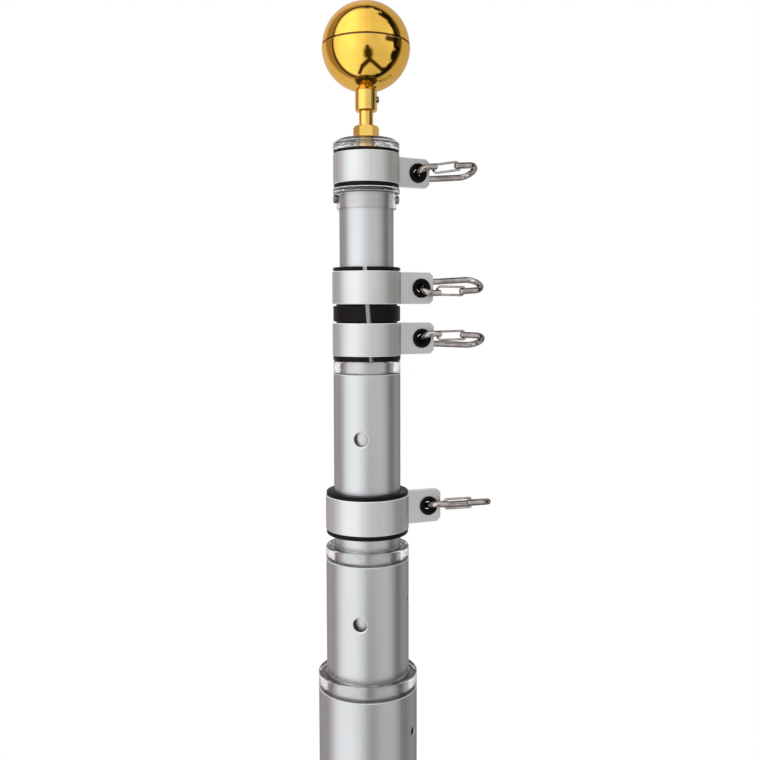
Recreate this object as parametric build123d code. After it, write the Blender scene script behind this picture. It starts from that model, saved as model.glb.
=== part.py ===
from build123d import *
import os
from collections import namedtuple
from math import sqrt

# A telescoping flagpole of four aluminium tubes, pushed together: a gilt ball on a clear
# plastic truck, and four swivel rings whose tabs each hold a snap link for the flag.
# Lengths are in millimetres and angles in degrees. The origin is the middle of the foot,
# +Z is up and the pole's front faces -Y. Azimuths turn from +X towards +Y.

# Fits shared by all pieces
RUNNING_FIT = 0.25
FIXED_FIT = 0.1
SEAT_GAP = 0.2
CUT_OVERRUN = 5.0

# Tubes: the top tube, the gap round each tube inside the next, one wall, and how much of
# each shows above the collar below it
TOP_TUBE_DIAMETER = 40.6
TOP_NEST_GAP = 3.0
MIDDLE_NEST_GAP = 4.25
LOWER_NEST_GAP = 4.25
TUBE_WALL = 2.1
TUBE_RIM_CHAMFER = 0.5
BASE_TUBE_LENGTH = 1422.4
LOWER_TUBE_SHOWN = 88.4
MIDDLE_TUBE_SHOWN = 132.0
TOP_TUBE_SHOWN = 113.1

# Lock holes in the outer tubes, and the buttons that snap into them
LOCK_HOLE_DIAMETER = 11.0
LOCK_HOLE_BEVEL = 0.5
BASE_LOCK_GAP = 13.0
LOWER_LOCK_GAP = 2.2
MIDDLE_LOCK_GAP = 6.3
BASE_LOCK_AZIMUTH = -115.0
LOWER_LOCK_AZIMUTH = -99.8
MIDDLE_LOCK_AZIMUTH = -99.8
LOCK_BUTTON_PLAY = 0.3
LOCK_BUTTON_DOME = 1.0
LOCK_BUTTON_GAP = 40.5

# Screw holes that pin a collar in its tube, a pair across the tube
SCREW_HOLE_DIAMETER = 7.6
SCREW_HOLE_DROP = 31.2
SCREW_HOLE_TURN = 90.0

# Clear collars at the tube mouths
BASE_COLLAR_HEIGHT = 12.3
LOWER_COLLAR_HEIGHT = 10.2
MIDDLE_COLLAR_HEIGHT = 9.5
COLLAR_SKIRT_TAIL = 1.0
COLLAR_TOP_ROUND = 1.2
COLLAR_FOOT_CHAMFER = 0.6

# Foot plug of the base tube and the guide cups on the feet of the sliding tubes
FOOT_PLUG_HEIGHT = 12.0
FOOT_PLUG_CHAMFER = 1.0
GUIDE_FLOOR = 6.0
GUIDE_SLEEVE = 34.0
GUIDE_CHAMFER = 1.0
GUIDE_DRAIN_DIAMETER = 14.0

# Truck: a clear spool on the top tube with a screwed-down cap
TRUCK_SKIRT_WALL = 1.9
TRUCK_SKIRT_HEIGHT = 10.9
TRUCK_FLANGE_PROUD = 0.2
TRUCK_FLANGE_HEIGHT = 4.1
TRUCK_FLANGE_CHAMFER = 0.6
TRUCK_HUB_STEP = 0.6
TRUCK_TUBE_REBATE = 1.6
TRUCK_CAP_SIDE = 5.4
TRUCK_CAP_BEVEL_RISE = 2.6
TRUCK_CAP_BEVEL_RUN = 3.75
TRUCK_CAP_ROUND = 1.2

# Ball stem: threaded shank, hexagon and rod, with a ferrule that the ball sits on
STEM_SHANK_DIAMETER = 10.0
STEM_SHANK_GRIP = 18.0
STEM_HEX_SHOULDER = 3.0
STEM_HEX_HEIGHT = 10.1
STEM_HEX_CHAMFER = 1.2
STEM_ROD_DIAMETER = 10.5
STEM_ROD_SHOWN = 10.6
STEM_ROD_ENTRY = 14.0
FERRULE_WALL = 2.8
FERRULE_HEIGHT = 14.3
FERRULE_CHAMFER = 1.0
FERRULE_NECK_WALL = 1.35
FERRULE_NECK_HEIGHT = 5.0

# Ball of two spun halves, the lower lapping outside the upper, with an open seam that
# rises at the front
BALL_DIAMETER = 65.5
BALL_WALL = 1.2
BALL_LAP_STEP = 0.35
BALL_LAP_HEIGHT = 3.0
BALL_LAP_WALL = 1.0
BALL_SEAM_GAP = 1.1
BALL_SEAM_TILT = 2.2
BALL_RIM_BEVEL = 0.6

# Swivel rings with their tabs
RING_WALL = 2.6
RING_EDGE_CHAMFER = 0.4
TOP_RING_HEIGHT = 22.3
SLEEVE_RING_HEIGHT = 24.4
BOTTOM_RING_HEIGHT = 26.1
TAB_THICKNESS = 3.8
TAB_CORNER = 3.0
TAB_ROOT_FILLET = 1.5
TAB_HOLE_REACH = 19.0
TAB_HOLE_MARGIN = 10.2
TOP_TAB_AZIMUTH = 28.5
UPPER_TAB_AZIMUTH = 23.5
LOWER_TAB_AZIMUTH = 22.0
BOTTOM_TAB_AZIMUTH = 21.5

# Black bushings that the rings turn on
TOP_BUSHING_FOOT = 2.9
TOP_BUSHING_HEAD = 2.0
TOP_BUSHING_WALL = 2.1
TOP_BUSHING_FLANGE_INSET = 0.45
BOTTOM_BUSHING_FOOT = 3.4
BOTTOM_BUSHING_HEAD = 3.0
BOTTOM_BUSHING_WALL = 3.25
BOTTOM_BUSHING_FLANGE_INSET = 0.55
BOTTOM_BUSHING_LIFT = 9.4
BUSHING_EDGE_CHAMFER = 0.6
BUSHING_SLIT = 2.0
BUSHING_SLIT_AZIMUTH = 25.0

# Split sleeve that carries two rings between its lips
SLEEVE_CORE_WALL = 2.45
SLEEVE_LIP_STAND = 2.5
SLEEVE_LIP_HEIGHT = 2.4
SLEEVE_FOOT_HEIGHT = 3.6
SLEEVE_BAND_STAND = 2.25
SLEEVE_BAND_HEIGHT = 11.7
SLEEVE_LIP_CHAMFER = 0.7
SLEEVE_TOP_SLACK = 0.6
SLEEVE_BAND_SLACK = 1.2
SLEEVE_SLIT = 3.3
SLEEVE_SLIT_TILT = 4.2
SLEEVE_SLIT_OFFSET = 1.3

# Rubber grommets in the tabs
GROMMET_THROAT_PLAY = 0.7
GROMMET_THROAT_LAND = 1.0
GROMMET_FLARE = 2.5
GROMMET_RIM = 1.8
GROMMET_GRIP = 2.1
GROMMET_FLANGE_HEIGHT = 1.0

# Snap links: one bent wire each, its gap closed by a thin wire gate that swings inwards
LINK_WIRE_DIAMETER = 4.8
LINK_INSIDE_LENGTH = 47.4
LINK_INSIDE_WIDTH = 12.8
LINK_NOSE_LENGTH = 4.6
LINK_GAP = 17.2
LINK_END_CHAMFER = 0.4
GATE_WIRE_DIAMETER = 1.8
GATE_SIDE_GAP = 0.3
GATE_TIP_INSET = 3.0
GATE_TIP_DEPTH = 1.4
GATE_TIP_BEND = 1.3
GATE_NOSE_LAP = 1.4
GATE_NOSE_BEND = 2.6
TOP_LINK_SWING = 5.6
UPPER_LINK_SWING = 3.5
LOWER_LINK_SWING = -3.0
BOTTOM_LINK_SWING = -1.6
TOP_LINK_ROLL = 26.0
UPPER_LINK_ROLL = -29.0
LOWER_LINK_ROLL = 27.0
BOTTOM_LINK_ROLL = 14.0

# Diameters that follow from the nesting of the tubes
middle_tube_diameter = TOP_TUBE_DIAMETER + 2 * (TOP_NEST_GAP + TUBE_WALL)
lower_tube_diameter = middle_tube_diameter + 2 * (MIDDLE_NEST_GAP + TUBE_WALL)
base_tube_diameter = lower_tube_diameter + 2 * (LOWER_NEST_GAP + TUBE_WALL)

# Radii of the truck, the bushings and the rings, from the tubes outwards
truck_hub = TOP_TUBE_DIAMETER / 2 - TRUCK_HUB_STEP
truck_skirt = TOP_TUBE_DIAMETER / 2 + FIXED_FIT + TRUCK_SKIRT_WALL
top_bushing_bore = truck_hub + RUNNING_FIT
top_bushing_core = top_bushing_bore + TOP_BUSHING_WALL
top_ring_bore = top_bushing_core + FIXED_FIT
top_ring_outside = top_ring_bore + RING_WALL
sleeve_bore = TOP_TUBE_DIAMETER / 2 + RUNNING_FIT
sleeve_core = sleeve_bore + SLEEVE_CORE_WALL
sleeve_ring_bore = sleeve_core + RUNNING_FIT
sleeve_ring_outside = sleeve_ring_bore + RING_WALL
bottom_bushing_bore = middle_tube_diameter / 2 + RUNNING_FIT
bottom_bushing_core = bottom_bushing_bore + BOTTOM_BUSHING_WALL
bottom_ring_bore = bottom_bushing_core + RUNNING_FIT
bottom_ring_outside = bottom_ring_bore + RING_WALL

# Radii of the stem, the ferrule, the grommets and the links
stem_rod = STEM_ROD_DIAMETER / 2
ferrule_bore = stem_rod + FIXED_FIT
ferrule_outside = ferrule_bore + FERRULE_WALL
ferrule_neck = ferrule_bore + FERRULE_NECK_WALL
link_wire = LINK_WIRE_DIAMETER / 2
link_bend = LINK_INSIDE_WIDTH / 2 + link_wire
link_reach = LINK_INSIDE_LENGTH + LINK_WIRE_DIAMETER
grommet_throat = link_wire + GROMMET_THROAT_PLAY
grommet_mouth = grommet_throat + GROMMET_FLARE
grommet_flange = grommet_mouth + GROMMET_RIM
tab_hole = grommet_flange - GROMMET_GRIP
tab_length = TAB_HOLE_REACH + TAB_HOLE_MARGIN
gate_wire = GATE_WIRE_DIAMETER / 2
gate_stand = link_wire + GATE_SIDE_GAP + gate_wire

# Collar skirts, lock holes and buttons along the tubes
collar_skirt = SCREW_HOLE_DROP + SCREW_HOLE_DIAMETER / 2 + COLLAR_SKIRT_TAIL
lock_hole_radius = LOCK_HOLE_DIAMETER / 2
lock_button_radius = lock_hole_radius - LOCK_BUTTON_PLAY
lock_button_rise = GUIDE_SLEEVE + LOCK_BUTTON_GAP + lock_hole_radius
base_lock_drop = collar_skirt + BASE_LOCK_GAP + lock_hole_radius
lower_lock_drop = collar_skirt + LOWER_LOCK_GAP + lock_hole_radius
middle_lock_drop = collar_skirt + MIDDLE_LOCK_GAP + lock_hole_radius
base_screw_azimuth = BASE_LOCK_AZIMUTH + SCREW_HOLE_TURN
lower_screw_azimuth = LOWER_LOCK_AZIMUTH + SCREW_HOLE_TURN

# Heights of the tube mouths and feet
base_mouth = BASE_TUBE_LENGTH
lower_mouth = base_mouth + BASE_COLLAR_HEIGHT + LOWER_TUBE_SHOWN
middle_mouth = lower_mouth + LOWER_COLLAR_HEIGHT + MIDDLE_TUBE_SHOWN
middle_collar_top = middle_mouth + MIDDLE_COLLAR_HEIGHT
truck_foot = middle_collar_top + TOP_TUBE_SHOWN
truck_flange_foot = truck_foot + TRUCK_SKIRT_HEIGHT
top_mouth = truck_flange_foot + TRUCK_TUBE_REBATE
foot_step = GUIDE_FLOOR + SEAT_GAP
lower_foot = FOOT_PLUG_HEIGHT + foot_step
middle_foot = lower_foot + foot_step
top_foot = middle_foot + foot_step


def bore_of(diameter):
    """Inside radius of a tube."""
    return diameter / 2 - TUBE_WALL


def pillar(radius, foot, top):
    """A round bar between two heights."""
    return Pos(0, 0, foot) * Cylinder(radius, top - foot, align=(Align.CENTER, Align.CENTER, Align.MIN))


def pipe(outer, inner, foot, top):
    """A round pipe between two heights."""
    return pillar(outer, foot, top) - pillar(inner, foot - CUT_OVERRUN, top + CUT_OVERRUN)


def outward(azimuth, height, shape):
    """Lay a shape that stands on the origin so that it points out from the pole."""
    return Rot(0, 0, azimuth) * Pos(0, 0, height) * Rot(0, 90, 0) * shape


def rod(radius, length):
    """A bar that stands on the origin."""
    return Cylinder(radius, length, align=(Align.CENTER, Align.CENTER, Align.MIN))


def turned(profile):
    """A solid turned about the pole's axis from a closed run of (radius, height) points."""
    return revolve(Plane.XZ * make_face(Polyline(*profile, close=True)), Axis.Z)


def top_edges(solid, radius):
    """Round edges of one radius at the top of a solid."""
    rounds = solid.edges().filter_by(GeomType.CIRCLE)
    alike = rounds.filter_by(lambda edge: abs(edge.radius - radius) < FIXED_FIT)
    return alike.sort_by(Axis.Z)[-1]


# Tubes, foot plug, guide cups, collars and lock buttons

def lock_hole(diameter, azimuth, height):
    """A lock hole through one wall, its outer edge broken all round."""
    outside = diameter / 2
    bevel_foot = sqrt(outside ** 2 - lock_hole_radius ** 2) - LOCK_HOLE_BEVEL
    drill = turned([
        (0, 0),
        (lock_hole_radius, 0),
        (lock_hole_radius, bevel_foot),
        (lock_hole_radius + CUT_OVERRUN, bevel_foot + CUT_OVERRUN),
        (0, bevel_foot + CUT_OVERRUN),
    ])
    return outward(azimuth, height, drill)


def screw_holes(diameter, azimuth, height):
    """A pair of screw holes across the tube."""
    half = rod(SCREW_HOLE_DIAMETER / 2, diameter / 2 + CUT_OVERRUN)
    return outward(azimuth, height, half) + outward(azimuth + 180, height, half)


def tube(diameter, foot, mouth):
    """A plain tube with its mouth's outer edge broken."""
    body = pipe(diameter / 2, bore_of(diameter), foot, mouth)
    return chamfer(top_edges(body, diameter / 2), TUBE_RIM_CHAMFER)


def button_hole(diameter, azimuth, foot):
    """The hole that a sliding tube's lock button stands in."""
    shank = rod(lock_button_radius + FIXED_FIT, diameter / 2 + CUT_OVERRUN)
    return outward(azimuth, foot + lock_button_rise, shank)


def lock_button(diameter, guide_diameter, azimuth, foot):
    """A domed button, pressed in behind the wall of the tube outside."""
    inner = bore_of(diameter) + RUNNING_FIT
    outer = bore_of(guide_diameter) - RUNNING_FIT
    height = foot + lock_button_rise
    button = Pos(0, 0, inner) * rod(lock_button_radius, outer - inner)
    button = chamfer(top_edges(button, lock_button_radius), LOCK_BUTTON_DOME)
    reach = pillar(outer, height - lock_button_radius, height + lock_button_radius)
    return outward(azimuth, height, button) & reach


def guide_cup(diameter, guide_diameter, foot):
    """A nylon cup on a tube's foot that runs in the tube outside."""
    outer = bore_of(guide_diameter) - RUNNING_FIT
    seat = diameter / 2 + FIXED_FIT
    drain = GUIDE_DRAIN_DIAMETER / 2
    low = foot - GUIDE_FLOOR
    high = foot + GUIDE_SLEEVE
    return turned([
        (drain, low),
        (outer - GUIDE_CHAMFER, low),
        (outer, low + GUIDE_CHAMFER),
        (outer, high - GUIDE_CHAMFER),
        (outer - GUIDE_CHAMFER, high),
        (seat, high),
        (seat, foot),
        (drain, foot),
    ])


def foot_plug():
    """The plug that closes the base tube's foot."""
    radius = bore_of(base_tube_diameter) - FIXED_FIT
    return turned([
        (0, 0),
        (radius, 0),
        (radius, FOOT_PLUG_HEIGHT - FOOT_PLUG_CHAMFER),
        (radius - FOOT_PLUG_CHAMFER, FOOT_PLUG_HEIGHT),
        (0, FOOT_PLUG_HEIGHT),
    ])


def collar(diameter, slide_diameter, mouth, height):
    """A clear collar: a flange on the tube's mouth and a skirt inside it."""
    flange = diameter / 2
    skirt = bore_of(diameter) - FIXED_FIT
    bore = slide_diameter / 2 + RUNNING_FIT
    body = turned([
        (bore, mouth - collar_skirt),
        (skirt, mouth - collar_skirt),
        (skirt, mouth),
        (flange - COLLAR_FOOT_CHAMFER, mouth),
        (flange, mouth + COLLAR_FOOT_CHAMFER),
        (flange, mouth + height),
        (bore, mouth + height),
    ])
    return fillet(top_edges(body, flange), COLLAR_TOP_ROUND)


# Truck, stem and ball

top_bushing_length = TOP_BUSHING_FOOT + TOP_RING_HEIGHT + TOP_BUSHING_HEAD + 2 * SEAT_GAP
truck_flange_top = truck_flange_foot + TRUCK_FLANGE_HEIGHT
top_bushing_foot = truck_flange_top + SEAT_GAP
truck_cap_foot = top_bushing_foot + top_bushing_length + SEAT_GAP
truck_cap_top = truck_cap_foot + TRUCK_CAP_SIDE + TRUCK_CAP_BEVEL_RISE
stem_hex_top = truck_cap_top + STEM_HEX_HEIGHT
ferrule_foot = stem_hex_top + STEM_ROD_SHOWN
ball_foot = ferrule_foot + FERRULE_HEIGHT
ball_middle = ball_foot + BALL_DIAMETER / 2


def truck_body():
    """Skirt over the top tube, flange and hub, drilled for the stem."""
    flange = top_ring_outside + TRUCK_FLANGE_PROUD
    seat = TOP_TUBE_DIAMETER / 2 + FIXED_FIT
    drill = STEM_SHANK_DIAMETER / 2 + FIXED_FIT
    drill_end = truck_cap_foot - STEM_SHANK_GRIP - SEAT_GAP
    return turned([
        (0, top_mouth),
        (seat, top_mouth),
        (seat, truck_foot),
        (truck_skirt, truck_foot),
        (truck_skirt, truck_flange_foot),
        (flange - TRUCK_FLANGE_CHAMFER, truck_flange_foot),
        (flange, truck_flange_foot + TRUCK_FLANGE_CHAMFER),
        (flange, truck_flange_top),
        (truck_hub, truck_flange_top),
        (truck_hub, truck_cap_foot),
        (drill, truck_cap_foot),
        (drill, drill_end),
        (0, drill_end),
    ])


def truck_cap():
    """The bevelled disc that keeps the top ring on the hub."""
    drill = STEM_SHANK_DIAMETER / 2 + FIXED_FIT
    crown = top_ring_outside - TRUCK_CAP_BEVEL_RUN
    body = turned([
        (drill, truck_cap_foot),
        (top_ring_outside, truck_cap_foot),
        (top_ring_outside, truck_cap_foot + TRUCK_CAP_SIDE),
        (crown, truck_cap_top),
        (drill, truck_cap_top),
    ])
    return fillet([top_edges(body, top_ring_outside), top_edges(body, crown)], TRUCK_CAP_ROUND)


def hex_bar(flats, length, bevel):
    """A hexagonal bar that stands on the origin, both ends bevelled at the corners."""
    bar = extrude(RegularPolygon(flats / 2, 6, major_radius=False), length)
    corner = flats / sqrt(3)
    envelope = chamfer(rod(corner, length).edges().filter_by(GeomType.CIRCLE), bevel)
    return bar & envelope


def ball_stem():
    """Shank in the truck, hexagon on the cap and rod into the ferrule."""
    shank = pillar(STEM_SHANK_DIAMETER / 2, truck_cap_foot - STEM_SHANK_GRIP, truck_cap_top)
    flats = 2 * (stem_rod + STEM_HEX_SHOULDER)
    hexagon = Pos(0, 0, truck_cap_top) * hex_bar(flats, STEM_HEX_HEIGHT, STEM_HEX_CHAMFER)
    neck = pillar(stem_rod, stem_hex_top, ferrule_foot + STEM_ROD_ENTRY)
    return shank + hexagon + neck


def ball_ferrule():
    """A ferrule cupped to the ball, with a neck through the ball's skin."""
    body = pillar(ferrule_outside, ferrule_foot, ball_middle)
    foot_edge = body.edges().filter_by(GeomType.CIRCLE).sort_by(Axis.Z)[0]
    body = chamfer(foot_edge, FERRULE_CHAMFER)
    body -= Pos(0, 0, ball_middle) * Sphere(BALL_DIAMETER / 2 + FIXED_FIT)
    body += pillar(ferrule_neck, ball_foot - FERRULE_CHAMFER, ball_foot + FERRULE_NECK_HEIGHT)
    bore_end = ferrule_foot + STEM_ROD_ENTRY + SEAT_GAP
    return body - pillar(ferrule_bore, ferrule_foot - CUT_OVERRUN, bore_end)


ball_seat = Pos(0, 0, ball_middle) * Rot(-BALL_SEAM_TILT, 0, 0)


def ball_shell(radius):
    """A hollow ball about the origin."""
    return Sphere(radius) - Sphere(radius - BALL_WALL)


def ball_lower_half():
    """The lower half, its rim's edge broken, with the hole for the ferrule's neck."""
    radius = BALL_DIAMETER / 2
    shell = ball_shell(radius) - pillar(radius + CUT_OVERRUN, 0, radius + CUT_OVERRUN)
    shell = ball_seat * chamfer(top_edges(shell, radius), BALL_RIM_BEVEL)
    return shell - pillar(ferrule_neck + FIXED_FIT, ball_foot - CUT_OVERRUN, ball_middle)


def ball_upper_half():
    """The upper half, a little smaller, with a lap that plugs into the lower."""
    radius = BALL_DIAMETER / 2 - BALL_LAP_STEP
    rim = BALL_SEAM_GAP
    shell = ball_shell(radius) - pillar(radius + CUT_OVERRUN, -radius - CUT_OVERRUN, rim)
    lap_outer = sqrt((BALL_DIAMETER / 2 - BALL_WALL) ** 2 - BALL_LAP_HEIGHT ** 2) - FIXED_FIT
    lap_inner = lap_outer - BALL_LAP_WALL
    lap = pipe(lap_outer, lap_inner, -BALL_LAP_HEIGHT, rim)
    turn_in = pipe(radius, lap_inner, rim, rim + BALL_LAP_WALL)
    return ball_seat * (shell + lap + (turn_in & Sphere(radius)))


# Rings, bushings and sleeve

Ring = namedtuple("Ring", "name bore outside height foot azimuth swing roll")

sleeve_foot = middle_collar_top + SEAT_GAP
lower_ring_foot = sleeve_foot + SLEEVE_FOOT_HEIGHT + SEAT_GAP
sleeve_band_foot = lower_ring_foot + SLEEVE_RING_HEIGHT + SLEEVE_BAND_SLACK
upper_ring_foot = sleeve_band_foot + SLEEVE_BAND_HEIGHT + SLEEVE_BAND_SLACK
sleeve_lip_foot = upper_ring_foot + SLEEVE_RING_HEIGHT + SLEEVE_TOP_SLACK
sleeve_top = sleeve_lip_foot + SLEEVE_LIP_HEIGHT
bottom_bushing_foot = lower_mouth + LOWER_COLLAR_HEIGHT + BOTTOM_BUSHING_LIFT
bottom_ring_foot = bottom_bushing_foot + BOTTOM_BUSHING_FOOT + SEAT_GAP
top_ring_foot = top_bushing_foot + TOP_BUSHING_FOOT + SEAT_GAP

RINGS = [
    Ring("top", top_ring_bore, top_ring_outside, TOP_RING_HEIGHT, top_ring_foot,
         TOP_TAB_AZIMUTH, TOP_LINK_SWING, TOP_LINK_ROLL),
    Ring("upper", sleeve_ring_bore, sleeve_ring_outside, SLEEVE_RING_HEIGHT, upper_ring_foot,
         UPPER_TAB_AZIMUTH, UPPER_LINK_SWING, UPPER_LINK_ROLL),
    Ring("lower", sleeve_ring_bore, sleeve_ring_outside, SLEEVE_RING_HEIGHT, lower_ring_foot,
         LOWER_TAB_AZIMUTH, LOWER_LINK_SWING, LOWER_LINK_ROLL),
    Ring("bottom", bottom_ring_bore, bottom_ring_outside, BOTTOM_RING_HEIGHT, bottom_ring_foot,
         BOTTOM_TAB_AZIMUTH, BOTTOM_LINK_SWING, BOTTOM_LINK_ROLL),
]


def tab_hole_place(ring):
    """Where the middle of a ring's tab hole lies, its frame turned along the tab."""
    reach = ring.outside + TAB_HOLE_REACH
    return Rot(0, 0, ring.azimuth) * Pos(reach, 0, ring.foot + ring.height / 2)


def swivel_ring(ring):
    """A ring and its tab, cut from one extrusion."""
    tab_end = ring.outside + tab_length
    outline = Circle(ring.outside) + Pos(tab_end / 2, 0) * Rectangle(tab_end, TAB_THICKNESS)
    roots = outline.vertices().sort_by(Axis.X)[-4:-2]
    outline = fillet(roots, TAB_ROOT_FILLET) - Circle(ring.bore)
    body = extrude(outline, ring.height)
    body = chamfer(body.edges().filter_by(Axis.Y).sort_by(Axis.X)[-2:], TAB_CORNER)
    faces = body.faces().filter_by(Axis.Z).sort_by(Axis.Z)
    body = chamfer(faces[0].edges() + faces[-1].edges(), RING_EDGE_CHAMFER)
    body = Rot(0, 0, ring.azimuth) * Pos(0, 0, ring.foot) * body
    return body - tab_hole_place(ring) * Rot(90, 0, 0) * Cylinder(tab_hole, tab_length)


def flanged_bushing(core, bore, flange, foot, foot_height, top, head_height):
    """A liner with a flange at each end, slit down the back so that it snaps into its ring."""
    low = foot + foot_height
    high = top - head_height
    body = turned([
        (bore, foot),
        (flange - BUSHING_EDGE_CHAMFER, foot),
        (flange, foot + BUSHING_EDGE_CHAMFER),
        (flange, low),
        (core, low),
        (core, high),
        (flange, high),
        (flange, top - BUSHING_EDGE_CHAMFER),
        (flange - BUSHING_EDGE_CHAMFER, top),
        (bore, top),
    ])
    slit = Box(flange + CUT_OVERRUN, BUSHING_SLIT, top - foot + CUT_OVERRUN,
               align=(Align.MIN, Align.CENTER, Align.CENTER))
    return body - Rot(0, 0, BUSHING_SLIT_AZIMUTH) * Pos(0, 0, (foot + top) / 2) * slit


def top_bushing():
    """The liner of the top ring, which turns on the truck's hub."""
    return flanged_bushing(
        top_bushing_core,
        top_bushing_bore,
        top_ring_outside - TOP_BUSHING_FLANGE_INSET,
        top_bushing_foot,
        TOP_BUSHING_FOOT,
        top_bushing_foot + top_bushing_length,
        TOP_BUSHING_HEAD,
    )


def bottom_bushing():
    """The liner of the bottom ring, which grips the middle tube."""
    length = BOTTOM_BUSHING_FOOT + BOTTOM_RING_HEIGHT + BOTTOM_BUSHING_HEAD + 2 * SEAT_GAP
    return flanged_bushing(
        bottom_bushing_core,
        bottom_bushing_bore,
        bottom_ring_outside - BOTTOM_BUSHING_FLANGE_INSET,
        bottom_bushing_foot,
        BOTTOM_BUSHING_FOOT,
        bottom_bushing_foot + length,
        BOTTOM_BUSHING_HEAD,
    )


def split_sleeve():
    """The sleeve of the two middle rings: lips, a band between them and a leaning slit."""
    lip = sleeve_core + SLEEVE_LIP_STAND
    band = sleeve_core + SLEEVE_BAND_STAND
    bevel = SLEEVE_LIP_CHAMFER
    band_top = sleeve_band_foot + SLEEVE_BAND_HEIGHT
    body = turned([
        (sleeve_bore, sleeve_foot),
        (lip - bevel, sleeve_foot),
        (lip, sleeve_foot + bevel),
        (lip, sleeve_foot + SLEEVE_FOOT_HEIGHT),
        (sleeve_core, sleeve_foot + SLEEVE_FOOT_HEIGHT),
        (sleeve_core, sleeve_band_foot),
        (band - bevel, sleeve_band_foot),
        (band, sleeve_band_foot + bevel),
        (band, band_top - bevel),
        (band - bevel, band_top),
        (sleeve_core, band_top),
        (sleeve_core, sleeve_lip_foot),
        (lip - bevel, sleeve_lip_foot),
        (lip, sleeve_lip_foot + bevel),
        (lip, sleeve_top - bevel),
        (lip - bevel, sleeve_top),
        (sleeve_bore, sleeve_top),
    ])
    height = sleeve_top - sleeve_foot
    slit = Box(SLEEVE_SLIT, lip + CUT_OVERRUN, height + 2 * CUT_OVERRUN,
               align=(Align.CENTER, Align.MAX, Align.CENTER))
    middle = (sleeve_foot + sleeve_top) / 2
    return body - Pos(SLEEVE_SLIT_OFFSET, 0, middle) * Rot(0, -SLEEVE_SLIT_TILT, 0) * slit


# Grommets, links and their gates

nose_end = link_bend + LINK_NOSE_LENGTH
gap_end = nose_end + LINK_GAP
gate_hinge = gap_end + GATE_TIP_INSET
gate_run = gate_hinge - nose_end + GATE_NOSE_LAP
gate_length = sqrt(gate_run ** 2 + gate_stand ** 2)


def link_place(ring):
    """A link's own frame: pivot in the tab hole, long way along the tab, gate to the front."""
    return tab_hole_place(ring) * Rot(0, -ring.swing, 0) * Rot(-ring.roll, 0, 0)


def grommet(ring):
    """A double-flanged rubber eye whose bore flares to both sides."""
    half = TAB_THICKNESS / 2
    face = half + GROMMET_FLANGE_HEIGHT
    seat = tab_hole - FIXED_FIT
    land = GROMMET_THROAT_LAND / 2
    eye = turned([
        (grommet_throat, land),
        (grommet_mouth, face),
        (grommet_flange, face),
        (grommet_flange, half),
        (seat, half),
        (seat, -half),
        (grommet_flange, -half),
        (grommet_flange, -face),
        (grommet_mouth, -face),
        (grommet_throat, -land),
    ])
    return tab_hole_place(ring) * Rot(90, 0, 0) * eye


def link(ring):
    """One wire bent to a long loop with a gap, drilled across for the tips of the gate."""
    far = link_reach - link_bend
    path = Line((gap_end, -link_bend), (far, -link_bend))
    path += ThreePointArc((far, -link_bend), (link_reach, 0), (far, link_bend))
    path += Line((far, link_bend), (link_bend, link_bend))
    path += ThreePointArc((link_bend, link_bend), (0, 0), (link_bend, -link_bend))
    path += Line((link_bend, -link_bend), (nose_end, -link_bend))
    section = Plane(origin=(gap_end, -link_bend, 0), z_dir=(1, 0, 0)) * Circle(link_wire)
    wire = sweep(section, path=path)
    wire = chamfer(wire.faces().filter_by(GeomType.PLANE).edges(), LINK_END_CHAMFER)
    wire -= Pos(gate_hinge, -link_bend, 0) * Cylinder(gate_wire + FIXED_FIT, LINK_WIRE_DIAMETER + CUT_OVERRUN)
    return link_place(ring) * wire


def gate(ring):
    """A thin wire bent round the nose, its tips turned into the sides of the link."""
    tip = link_wire - GATE_TIP_DEPTH
    path = FilletPolyline(
        (0, -tip),
        (0, -gate_stand),
        (gate_length, -gate_stand),
        (gate_length, gate_stand),
        (0, gate_stand),
        (0, tip),
        radius=[GATE_TIP_BEND, GATE_NOSE_BEND, GATE_NOSE_BEND, GATE_TIP_BEND],
    )
    wire = sweep(Plane(origin=(0, -tip, 0), z_dir=(0, -1, 0)) * Circle(gate_wire), path=path)
    lean = Plane(
        origin=(gate_hinge, -link_bend, 0),
        x_dir=(-gate_run, gate_stand, 0),
        z_dir=(gate_stand, gate_run, 0),
    )
    return link_place(ring) * lean.location * wire


# Assembly: every node by name

base_tube = tube(base_tube_diameter, 0, base_mouth)
base_tube -= lock_hole(base_tube_diameter, BASE_LOCK_AZIMUTH, base_mouth - base_lock_drop)
base_tube -= screw_holes(base_tube_diameter, base_screw_azimuth, base_mouth - SCREW_HOLE_DROP)

lower_tube = tube(lower_tube_diameter, lower_foot, lower_mouth)
lower_tube -= lock_hole(lower_tube_diameter, LOWER_LOCK_AZIMUTH, lower_mouth - lower_lock_drop)
lower_tube -= screw_holes(lower_tube_diameter, lower_screw_azimuth, lower_mouth - SCREW_HOLE_DROP)
lower_tube -= button_hole(lower_tube_diameter, BASE_LOCK_AZIMUTH, lower_foot)

middle_tube = tube(middle_tube_diameter, middle_foot, middle_mouth)
middle_tube -= lock_hole(middle_tube_diameter, MIDDLE_LOCK_AZIMUTH, middle_mouth - middle_lock_drop)
middle_tube -= button_hole(middle_tube_diameter, LOWER_LOCK_AZIMUTH, middle_foot)

top_tube = tube(TOP_TUBE_DIAMETER, top_foot, top_mouth)
top_tube -= button_hole(TOP_TUBE_DIAMETER, MIDDLE_LOCK_AZIMUTH, top_foot)

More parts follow.
